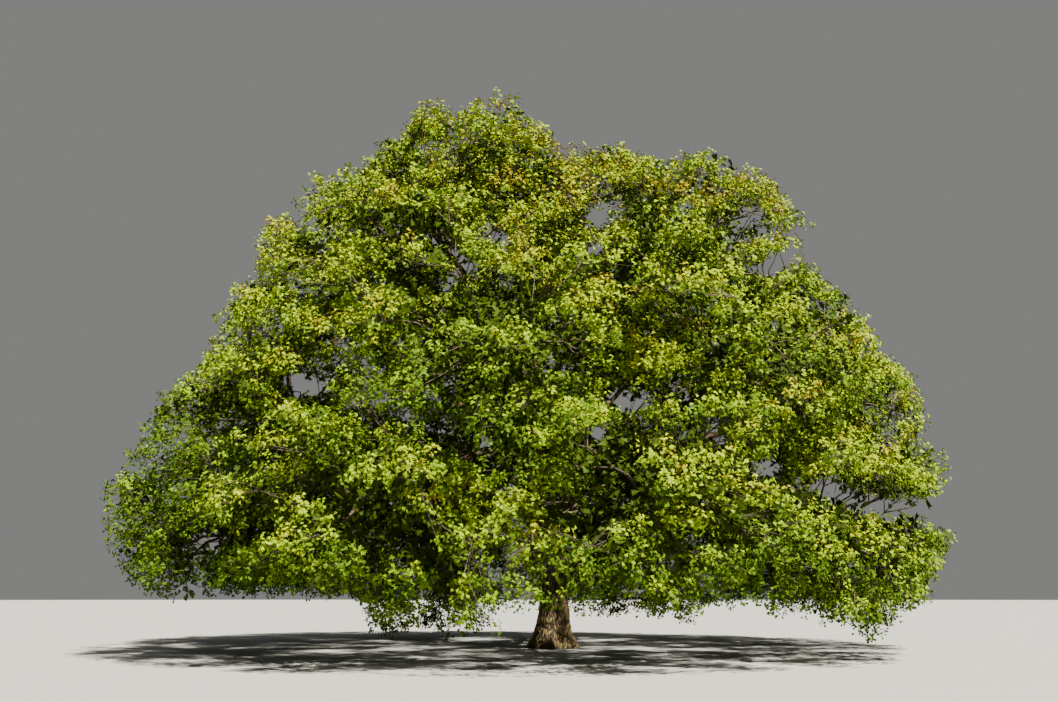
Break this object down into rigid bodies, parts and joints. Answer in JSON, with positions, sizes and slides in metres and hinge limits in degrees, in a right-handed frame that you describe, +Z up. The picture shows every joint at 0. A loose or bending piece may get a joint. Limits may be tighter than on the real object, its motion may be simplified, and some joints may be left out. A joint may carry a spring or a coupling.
{
  "type": "oak tree",
  "caption": "Open-grown oak in spring leaf: short flared trunk, spreading tapering boughs and a broad domed crown of separate foliage masses, cut flat at the ground.",
  "frame": {"origin": "middle of the flat cut at the foot of the trunk, on the ground", "axes": "+Z up, -Y towards the side that the picture shows, +X to the right in that view"},
  "size_m": [25.7538, 25.9712, 18.3358],
  "materials": {
    "bark": "rough fissured bark",
    "foliage": "matte spring leaves"
  },
  "bodies": {
    "root": {"trunk": "bark", "bough_crown_1": "bark", "bough_crown_2": "bark", "bough_crown_3": "bark", "bough_crown_4": "bark", "bough_crown_5": "bark", "bough_shoulder_1": "bark", "bough_shoulder_2": "bark", "bough_shoulder_3": "bark", "bough_shoulder_4": "bark", "bough_shoulder_5": "bark", "bough_shoulder_6": "bark", "bough_shoulder_7": "bark", "bough_shoulder_8": "bark", "bough_skirt_1": "bark", "bough_skirt_2": "bark", "bough_skirt_3": "bark", "bough_skirt_4": "bark", "bough_skirt_5": "bark", "bough_skirt_6": "bark", "bough_skirt_7": "bark", "bough_skirt_8": "bark", "bough_skirt_9": "bark", "bough_top_1": "bark", "bough_upper_1": "bark", "bough_upper_2": "bark", "bough_upper_3": "bark", "bough_upper_4": "bark", "bough_upper_5": "bark", "bough_upper_6": "bark", "foliage_crown_1": "foliage", "foliage_crown_2": "foliage", "foliage_crown_3": "foliage", "foliage_crown_4": "foliage", "foliage_crown_5": "foliage", "foliage_shoulder_1": "foliage", "foliage_shoulder_2": "foliage", "foliage_shoulder_3": "foliage", "foliage_shoulder_4": "foliage", "foliage_shoulder_5": "foliage", "foliage_shoulder_6": "foliage", "foliage_shoulder_7": "foliage", "foliage_shoulder_8": "foliage", "foliage_skirt_1": "foliage", "foliage_skirt_2": "foliage", "foliage_skirt_3": "foliage", "foliage_skirt_4": "foliage", "foliage_skirt_5": "foliage", "foliage_skirt_6": "foliage", "foliage_skirt_7": "foliage", "foliage_skirt_8": "foliage", "foliage_skirt_9": "foliage", "foliage_top_1": "foliage", "foliage_upper_1": "foliage", "foliage_upper_2": "foliage", "foliage_upper_3": "foliage", "foliage_upper_4": "foliage", "foliage_upper_5": "foliage", "foliage_upper_6": "foliage"}
  },
  "joints": []
}
